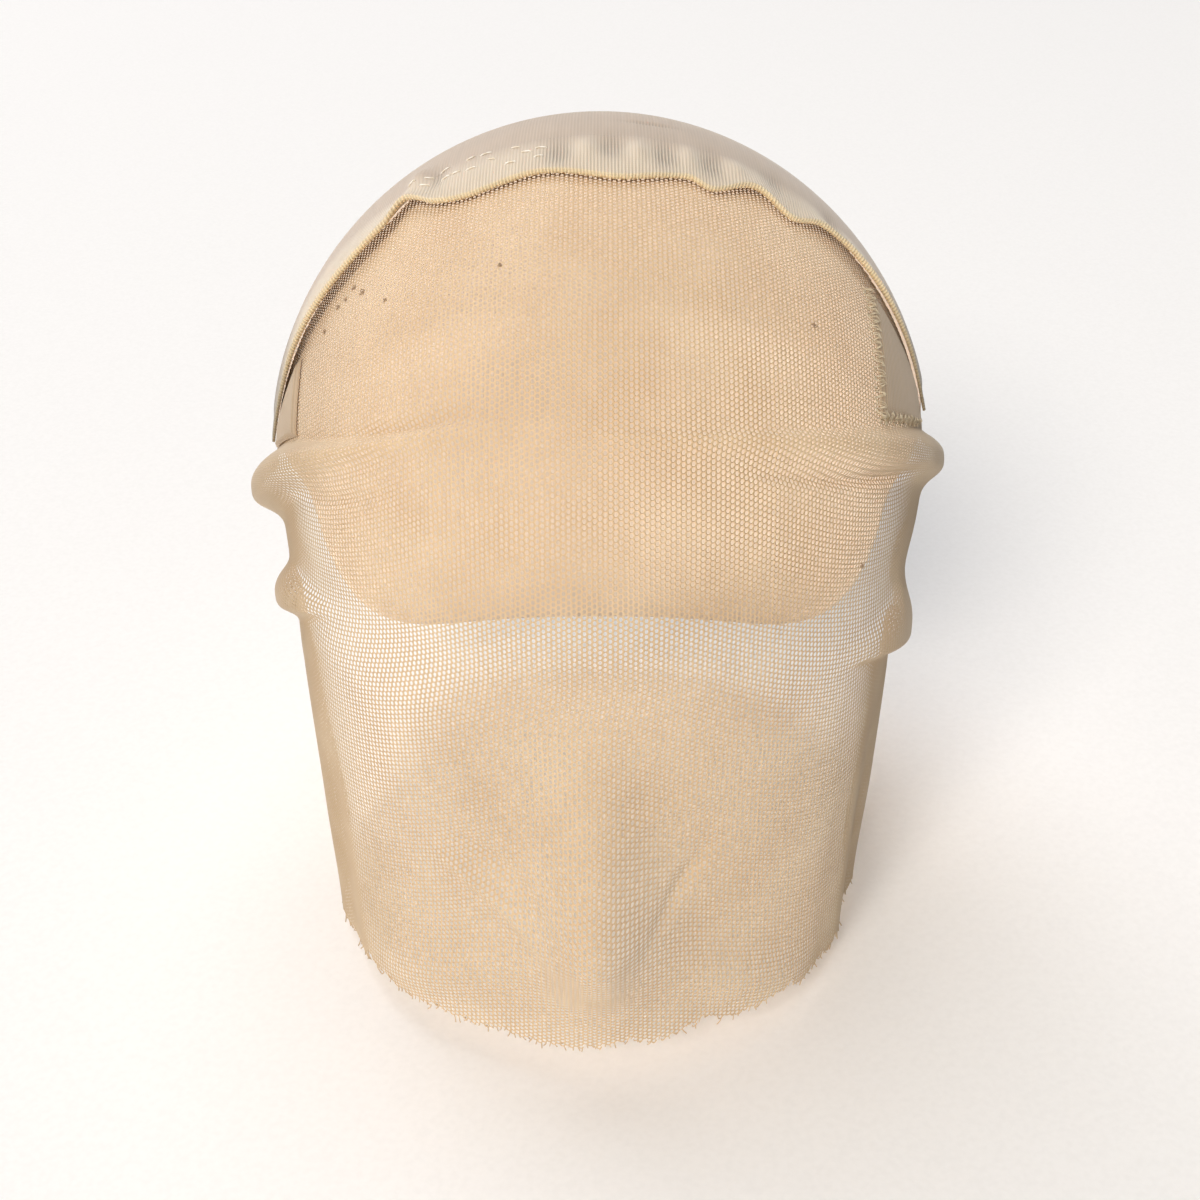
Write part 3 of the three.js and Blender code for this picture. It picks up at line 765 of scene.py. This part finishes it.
def lace_net(cells, material):
    """The lace, in strips that meet along a wale. Each hole is a hexagon, and each thread between two holes
    has a raised middle."""
    wale, along = cells
    angle = np.radians(np.arange(6) * 60)
    corner = np.stack([np.cos(angle), np.sin(angle)], -1) * HEX_RADIUS
    hole_share = 1 - np.array([UPRIGHT_WIDTH, BAR_WIDTH]) / HOLE_SPACING
    cuts = np.linspace(wale.min() - 1, wale.max() + 1, len(NET_STRIPS) + 1)
    pieces = []
    for name, first, last in zip(NET_STRIPS, cuts[:-1], cuts[1:]):
        chosen = (wale >= first) & (wale < last)
        middle = np.stack([wale[chosen] * WALE_SPACING, along[chosen]], -1)
        joints = (middle[:, None] + corner).reshape(-1, 2)
        keys = np.round(joints / (HEX_RADIUS / 4)).astype(int)
        _, owner, joint = np.unique(keys, axis=0, return_index=True, return_inverse=True)
        joint = joint.reshape(-1, 6)
        middle_lateral = middle[:, 0] / WALE_RADIUS
        base = form_on_wale(middle_lateral, net_rise(middle_lateral, middle[:, 1]))
        doubled = np.max([roll_share(roll, base) for roll in ROLLS], axis=0)
        open_share = hole_share * (1 - ROLL_CLOSING * doubled)[:, None]
        holes = (middle[:, None] + corner * open_share[:, None]).reshape(-1, 2)
        flat = np.concatenate([joints[owner], holes])
        lateral = flat[:, 0] / WALE_RADIUS
        rise = net_rise(lateral, flat[:, 1])
        points = lace_face(lateral, rise)
        ridge = slice(0, len(owner))
        points[ridge] += THREAD_ROUND * lace_normal(lateral[ridge], rise[ridge])
        hole = len(owner) + np.arange(len(holes)).reshape(-1, 6)
        quads = np.stack([hole, joint, np.roll(joint, -1, axis=1), np.roll(hole, -1, axis=1)], -1)
        piece = add_mesh(name, points, [quads.reshape(-1, 4)], material)
        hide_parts("lace_front")
        thread = WALE_SPACING * HOLE_SPACING * (1 - open_share.prod(axis=1)).sum()
        pieces.append(piece)
    return pieces


def cut_ends(cells, material):
    """Short thread ends that stand out along the ragged cut of the lace."""
    wale, along = cells
    wales = np.unique(wale)
    lowest = np.array([along[wale == w].min() for w in wales])
    steps = np.linspace(0, 1, 4)
    starts = lowest - HEX_RADIUS * 0.8
    length = draws.uniform(0.5, 1.9, len(wales))
    sway = draws.normal(0, 0.5, len(wales))
    out = draws.normal(0, 0.35, len(wales))
    lateral = (wales[:, None] * WALE_SPACING + HEX_RADIUS / 2 + sway[:, None] * steps ** 2) / WALE_RADIUS
    rise = net_rise(lateral, starts[:, None] - length[:, None] * steps)
    normals = lace_normal(lateral, rise)
    paths = lace_face(lateral, rise) + normals * (out[:, None] * steps ** 2)[..., None]
    points, faces = tubes(paths, normals, BAR_WIDTH / 2, sides=4)
    piece = add_mesh("lace_cut_ends", points, faces, material)
    return piece


def net_slubs(material):
    """Little tangles of thread on the net."""
    turns = np.linspace(0, 2 * math.pi, 37)
    knot = np.stack([np.sin(turns) + 2 * np.sin(2 * turns), np.cos(turns) - 2 * np.cos(2 * turns),
                     0.7 - np.sin(3 * turns)], -1) / 6
    paths, normals = [], []
    for slub in SLUBS:
        lateral = np.array([math.radians(slub["degrees"])])
        rise = np.array([slub["rise"]], float)
        middle, up = lace_face(lateral, rise)[0], lace_normal(lateral, rise)[0]
        across = unit(np.cross([0, 0, 1], up))
        over = np.cross(up, across)
        spin = draws.uniform(0, 2 * math.pi)
        side = math.cos(spin) * across + math.sin(spin) * over
        axes = np.stack([side, np.cross(up, side), up])
        paths.append(middle + slub["size"] * (knot @ axes) + 0.1 * up)
        normals.append(np.tile(unit(side + 0.3 * up + 0.2), (len(turns), 1)))
    points, faces = tubes(np.array(paths), np.array(normals), 0.11)
    piece = add_mesh("net_slubs", points, faces, material)
    return piece


def rib_wave(degrees):
    """Relief of the ribs along the hem, from 0 between two ribs to 1 on a rib."""
    turn = np.radians(degrees) * RIB_RADIUS / RIB_SPACING
    return np.abs(np.cos(math.pi * turn)) ** 0.8


def hem_fullness(degrees):
    """1 along the hem, falling to 0 at its two ends."""
    first, last = FRONT_EDGE[0]["degrees"], FRONT_EDGE[-1]["degrees"]
    return ease(degrees, first, first + HEM_END_DEGREES) * (1 - ease(degrees, last - HEM_END_DEGREES, last))


def hem_wall(degrees):
    """Thickness of the doubled hem, which is drawn thin at its two ends, where the rolls hold it down."""
    return HEM_WALL * mix(0.5, 1, hem_fullness(degrees))


def hem_height(degrees, behind):
    """Height of the hem's outer face above the form, behind being 0 at the turned edge and 1 at the sewn
    line, where it is level with the crown."""
    edge, back = hem_edge(degrees), hem_back(degrees)
    lift = column(FRONT_EDGE, "degrees", "lift", degrees) * (1 - behind) ** 2
    wall = mix(hem_wall(degrees), CROWN_WALL + 0.02, ease(behind, 0.5, 1))
    return lift + wall + pucker(degrees, mix(edge, back, behind))


def front_hem(material):
    """The turned hem: a doubled band whose ribs round over the fold as a row of small beads."""
    first, last = FRONT_EDGE[0]["degrees"], FRONT_EDGE[-1]["degrees"]
    way = math.radians(last - first) * RIB_RADIUS
    ribs = round(way / RIB_SPACING)
    degrees = np.linspace(first, last, ribs * RIB_SAMPLES + 1)
    edge, back = hem_edge(degrees), hem_back(degrees)
    lift = column(FRONT_EDGE, "degrees", "lift", degrees)
    fold = hem_wall(degrees) / 2
    bead = draws.uniform(0.7, 1.3, ribs + 2)
    bead_size = bead[np.round(np.linspace(0, ribs, len(degrees))).astype(int)]
    fullness = hem_fullness(degrees)
    rib = rib_wave(degrees) * mix(0.25, 1, fullness)
    # Rows round the band: its sewn end, its outer face, the fold, and its inner face, with ways from the edge
    fold_way, band_way = 1.7, 15
    places, heights, ways = [back], [hem_height(degrees, 1) - 0.4], [fold_way + band_way + 0.1]
    for behind in np.concatenate([[1, 0.985], np.linspace(0.92, 0, 12)]):
        fade = mix(1.0, 0.3, behind)
        places.append(mix(edge + fold, back, behind))
        heights.append(hem_height(degrees, behind) + RIB_RELIEF * fade * rib)
        ways.append(behind * band_way + fold_way)
    front_pucker = pucker(degrees, edge)
    for turn in np.radians(np.linspace(90, -90, 9)[1:-1]):
        round_out = FOLD_BEAD * bead_size * math.cos(turn) ** 2 + RIB_RELIEF * abs(math.sin(turn))
        radius = fold + rib * round_out
        places.append(edge + fold - radius * math.cos(turn))
        heights.append(lift + fold + radius * math.sin(turn) + front_pucker * (1 + math.sin(turn)) / 2)
        ways.append(turn * HEM_WALL / 2)
    for behind in np.linspace(0, 1, 5):
        places.append(mix(edge + fold, back, behind))
        heights.append(lift * (1 - behind) ** 2 + 0 * edge)
        ways.append(-fold_way - behind * band_way)
    y = np.stack(places)
    degrees_grid = np.broadcast_to(degrees, y.shape)
    base = form_over_top(degrees_grid, y)
    points = base + form_normal(base) * np.stack(heights)[..., None]
    rows, columns = y.shape
    index = np.arange(rows * columns).reshape(rows, columns)
    below = np.roll(index, -1, axis=0)
    quads = np.stack([index[:, :-1], below[:, :-1], below[:, 1:], index[:, 1:]], -1).reshape(-1, 4)
    caps = np.stack([index[::-1, 0], index[:, -1]])
    along = np.broadcast_to(np.radians(degrees) * RIB_RADIUS, y.shape)
    uv = np.stack([along, np.broadcast_to(np.array(ways)[:, None], y.shape)], -1)
    # Sunk puckers deepen the painted shade between the ribs
    bunching = np.clip(-PUCKER_SHADE * pucker(degrees_grid, y), 0, 1)
    # Painted shade that darkens the hem toward its thinned ends
    painted_end_shade = 1 - np.broadcast_to(fullness, y.shape)
    piece = add_mesh("turned_hem", points.reshape(-1, 3), [quads, caps], material, uv.reshape(-1, 2),
                     bunching, painted_end_shade)
    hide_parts("front_hem")
    return piece


def crown_cap(material):
    """The crown: one stretched dome of rib knit from the hem to the nape, with a plain edge."""
    tip = math.radians(30)
    pole = np.array([0, math.cos(tip), math.sin(tip)])
    up = np.array([0, -math.sin(tip), math.cos(tip)])
    side = np.array([1, 0, 0])
    columns, rows = 320, 110
    around = np.linspace(0, 2 * math.pi, columns, endpoint=False)

    def direction(turn, spread):
        out = np.sin(turn)[..., None] * side + np.cos(turn)[..., None] * up
        return np.cos(spread)[..., None] * pole + np.sin(spread)[..., None] * out

    def beyond_edge(spread):
        points = form_along(direction(around, spread))
        hem = hem_back(degrees_over_top(points)) - CROWN_UNDERLAP - points[:, 1]
        return np.maximum(hem, crown_edge_level(points) - points[:, 2])

    spread = crossing(np.zeros(columns), np.full(columns, 0.75 * math.pi), beyond_edge)
    share = np.linspace(0.01, 1, rows)[:, None]
    base = form_along(direction(np.broadcast_to(around, (rows, columns)), share * spread))
    normal = form_normal(base)
    x, y, z = np.moveaxis(base, -1, 0)
    dents = pucker(degrees_over_top(base), y) * (z > -DOME_HEIGHT)
    thinned = mix(1, CROWN_RIM["wall_share"], ease(share, CROWN_RIM["start"], 1))
    wall = CROWN_WALL * np.where(z < CROWN_RIM["z"], thinned, 1)
    outer, inner = base + normal * (wall + dents)[..., None], base
    index = np.arange(rows * columns).reshape(rows, columns)
    after = np.roll(index, -1, axis=1)
    quads = np.stack([index[:-1], index[1:], after[1:], after[:-1]], -1).reshape(-1, 4)
    count = rows * columns
    rim = np.stack([index[-1], index[-1] + count, after[-1] + count, after[-1]], -1)
    tips = np.stack([index[0], index[0, ::-1] + count])
    lateral = np.where(z > -DOME_HEIGHT, np.arcsin(np.clip(x / WIDEST["half_width"], -1, 1)),
                       np.arctan2(x / WIDEST["half_width"], np.abs(y) / WIDEST["back"]))
    way = np.where(z > -DOME_HEIGHT, np.arctan2(z + DOME_HEIGHT, -y) * DOME_RADIUS,
                   math.pi * DOME_RADIUS - DOME_HEIGHT - z)
    uv = np.stack([lateral * RIB_RADIUS, 300 - way], -1).reshape(-1, 2)
    points = np.concatenate([outer.reshape(-1, 3), inner.reshape(-1, 3)])
    faces = [np.concatenate([quads, quads[:, ::-1] + count, rim]), tips]
    # Sunk puckers deepen the painted shade between the ribs
    bunching = np.clip(-PUCKER_SHADE * dents, 0, 1)
    piece = add_mesh("crown_dome", points, faces, material, np.concatenate([uv, uv]),
                     np.stack([bunching, bunching]))
    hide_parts("crown_cap")
    return piece


def panel_edges(panel, columns):
    """Wales of a temple panel from its seam to its back, with their highest and lowest rise."""
    lateral = np.radians(np.linspace(panel["seam_degrees"], panel["back_degrees"], columns))
    high = rise_at_hem(lateral, -PANEL_HEM_GAP)

    def above_roll(rise):
        points = form_on_wale(lateral, rise)
        return points[:, 2] - ridge_level(panel["roll"], points[:, 1]) - panel["roll_clearance"]

    low = crossing(np.zeros(columns), high, above_roll)
    return lateral, high, low


def temple_panel(panel, material):
    """A small patch of the crown's knit, laid on the lace and sewn down."""
    rows = columns = 44
    lateral, high, low = panel_edges(panel, columns)
    lateral, rise = np.broadcast_to(lateral, (rows, columns)), np.linspace(high, low, rows)
    if panel["seam_degrees"] < 0:
        lateral, rise = lateral[:, ::-1], rise[:, ::-1]
    face, normal = lace_face(lateral, rise), lace_normal(lateral, rise)
    way_in = np.minimum(np.arange(rows), np.arange(rows)[::-1])
    full = ease(np.minimum.outer(way_in, way_in), 0, 4)[..., None]
    heights = [PANEL_CLEARANCE + PANEL_WALL * mix(0.2, 1, full), PANEL_CLEARANCE]
    points = np.concatenate([(face + normal * height).reshape(-1, 3) for height in heights])
    uv = np.stack([lateral * RIB_RADIUS, rise], -1).reshape(-1, 2)
    piece = add_mesh("temple_" + panel["side"], points, [wall_faces(rows, columns)], material,
                     np.concatenate([uv, uv]))
    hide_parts("side_panel_" + panel["side"])
    return piece


def along_route(reach, way, values):
    """Values of a route's points at a reach along its way."""
    return np.stack([np.interp(reach, way, each) for each in values.T], -1)


def zigzag_seam(panel, material):
    """Zigzag stitches that hold a panel's seam and lower edge down on the lace: strands that swing at uneven
    stops from the lace up onto the panel and back."""
    lateral, high, low = panel_edges(panel, 60)
    seam_rise = np.linspace(high[0] - 1.0, low[0], 80)
    seam = np.stack([np.full(80, lateral[0]), seam_rise], -1)
    route = np.concatenate([seam, np.stack([lateral, low], -1)[1:]])
    points = lace_face(route[:, 0], route[:, 1])
    way = np.concatenate([[0], np.cumsum(np.linalg.norm(np.diff(points, axis=0), axis=1))])
    turns = int(way[-1] / (ZIGZAG_PITCH / 2))
    stop = np.arange(turns + 1)
    fine = np.linspace(0, turns, turns * 6 + 1)
    paths, normals = [], []
    for _ in range(ZIGZAG_STRANDS):
        uneven = np.clip((stop + draws.uniform(-0.45, 0.45, turns + 1)) / turns, 0, 1)
        reach = np.interp(fine, stop, uneven * way[-1])
        jitter = draws.uniform(0.2, 1.3, turns + 1) * np.where(stop % 2, 1, -1)
        swing = np.interp(fine, stop, jitter)
        place = along_route(reach, way, route)
        middle, normal = lace_face(place[:, 0], place[:, 1]), lace_normal(place[:, 0], place[:, 1])
        along = unit(along_route(reach + 0.5, way, points) - along_route(reach - 0.5, way, points))
        inward = math.copysign(1, panel["seam_degrees"]) * unit(np.cross(normal, along))
        height = mix(0.15, PANEL_CLEARANCE + PANEL_WALL + 0.1, ease(swing, -0.3, 0.3))
        paths.append(middle + inward * (swing * ZIGZAG_WIDTH / 2)[:, None] + normal * height[:, None])
        normals.append(normal)
    points, faces = tubes(np.array(paths), np.array(normals), STRAND_RADIUS)
    piece = add_mesh("zigzag_" + panel["side"], points, faces, material)
    return piece


def running_stitches(material):
    """Running stitches that hold the turned hem, each a short thread with sunk ends."""
    steps = np.linspace(-0.5, 0.5, 9)
    middles = np.array(STITCHES)
    lengths = math.degrees(STITCH_LENGTH / RIB_RADIUS) * draws.uniform(0.8, 1.2, len(middles))
    slants = draws.normal(0, 0.03, len(middles))
    degrees = middles[:, :1] + lengths[:, None] * steps
    depth = np.clip(middles[:, 1:] + slants[:, None] * steps, 0, 1)
    base = form_over_top(degrees, mix(hem_edge(degrees), hem_back(degrees), depth))
    normals = form_normal(base)
    arch = RIB_RELIEF + 0.16 - 3.6 * steps ** 4
    paths = base + normals * (hem_height(degrees, depth) + arch)[..., None]
    points, faces = tubes(paths, normals, THREAD_RADIUS)
    piece = add_mesh("running_stitches", points, faces, material)
    return piece


# Studio

def floor(material):
    level = cad_box[0][2] - FLOOR_GAP * METRES
    turns = [(-1, -1), (1, -1), (1, 1), (-1, 1)]
    mesh = bpy.data.meshes.new("floor")
    mesh.from_pydata([(x * FLOOR_HALF, y * FLOOR_HALF, level) for x, y in turns], [], [(0, 1, 2, 3)])
    mesh.materials.append(material)
    plane = bpy.data.objects.new("floor", mesh)
    bpy.context.scene.collection.objects.link(plane)


def softbox(name, at, aim, size, watts, hex_colour, spread_degrees=180):
    light = bpy.data.lights.new(name, "AREA")
    light.shape = "DISK"
    light.size = size
    light.spread = math.radians(spread_degrees)
    light.energy = watts
    light.color = linear(hex_colour)[:3]
    lamp = bpy.data.objects.new(name, light)
    lamp.location = at
    lamp.rotation_euler = (Vector(aim) - Vector(at)).to_track_quat("-Z", "Y").to_euler()
    lamp.visible_camera = False
    bpy.context.scene.collection.objects.link(lamp)


def studio():
    floor(floor_paper_material())
    middle = (0, 0, -0.08)
    softbox("key_softbox", (-2.85, -6.0, 5.1), middle, 3.6, 486, "#FFF7ED")
    softbox("fill_softbox", (-3.6, 4.8, 3.0), middle, 4.8, 108, "#FBF8FF")
    softbox("top_softbox", (-0.9, 2.1, 6.6), middle, 6.0, 225, "#FFFFFF")
    softbox("hollow_softbox", (0.004, -0.01, -0.18), (-0.026, 0.036, 0), 0.08, 0.19, "#FFFFFF", 140)
    world = bpy.data.worlds.new("white_room")
    world.use_nodes = True
    tree = world.node_tree
    background = tree.nodes["Background"]
    background.inputs["Color"].default_value = linear("#FFFFFF")
    # White walls, bright near the floor and dim toward the ceiling
    way = add_node(tree, "ShaderNodeTexCoord").outputs["Generated"]
    height = add_node(tree, "ShaderNodeSeparateXYZ", links={"Vector": way}).outputs["Z"]
    walls = scaled(tree, height, (0.06, 0.36), (0.85, 0.14), "SMOOTHSTEP")
    tree.links.new(walls, background.inputs["Strength"])
    bpy.context.scene.world = world
    bpy.context.scene.view_settings.view_transform = "Standard"


def camera():
    lens = bpy.data.cameras.new("photo_camera")
    lens.sensor_width = SENSOR_WIDTH
    lens.lens = CAMERA_FOCAL_LENGTH
    eye = bpy.data.objects.new("photo_camera", lens)
    eye.location = Vector(CAMERA_AT) * METRES
    eye.rotation_euler = (math.radians(90 - CAMERA_PITCH_DEGREES), 0, 0)
    bpy.context.scene.collection.objects.link(eye)
    bpy.context.scene.camera = eye


def build_cap():
    net = tulle_net_material()
    crown_knit = rib_knit_material("nylon_rib_knit_crown", [(0.0, "#C6B5A4"), (1.0, "#C6B5A4")], 0.08, 0.08)
    # The hem's first two stops paint the shade under its fold, and the bright cream stop at the fold is the
    # knit's pale tint brightened as a painted glow of light through the doubled edge
    hem_knit = rib_knit_material(
        "nylon_rib_knit_turned_hem",
        [(0.0, "#8A6E45"), (0.06, "#BF9E6C"), (0.11, "#EEDAB4"), (0.19, "#E6D6BE"), (0.65, "#DBCCB8"),
         (0.94, "#C6B5A4")], 0.24, 0.05)
    # The panels' knit is the crown's knit painted darker, as the shade they lie in at the temples
    shaded_panel_knit = rib_knit_material("nylon_rib_knit_panel", [(0.0, "#BDA78C"), (1.0, "#BDA78C")], 0.2, 0.2)
    white_thread = sewing_thread_material("spun_polyester_thread_white", "#EDE3CF", "#FFFBF2")
    # The zigzag's off-white thread is painted tan, as the shade it lies in on its temple panel
    shaded_seam_thread = sewing_thread_material("spun_polyester_thread_seam", "#C2B193", "#D8CBB0")
    slub_thread = sewing_thread_material("polyester_slub_thread", "#A0856A", "#BCA284")
    cells = net_cells()
    lace_net(cells, net)
    cut_ends(cells, net)
    net_slubs(slub_thread)
    crown_cap(crown_knit)
    front_hem(hem_knit)
    for panel in PANELS:
        temple_panel(panel, shaded_panel_knit)
        if panel["zigzag"]:
            zigzag_seam(panel, shaded_seam_thread)
    running_stitches(white_thread)


camera()
build_cap()
studio()
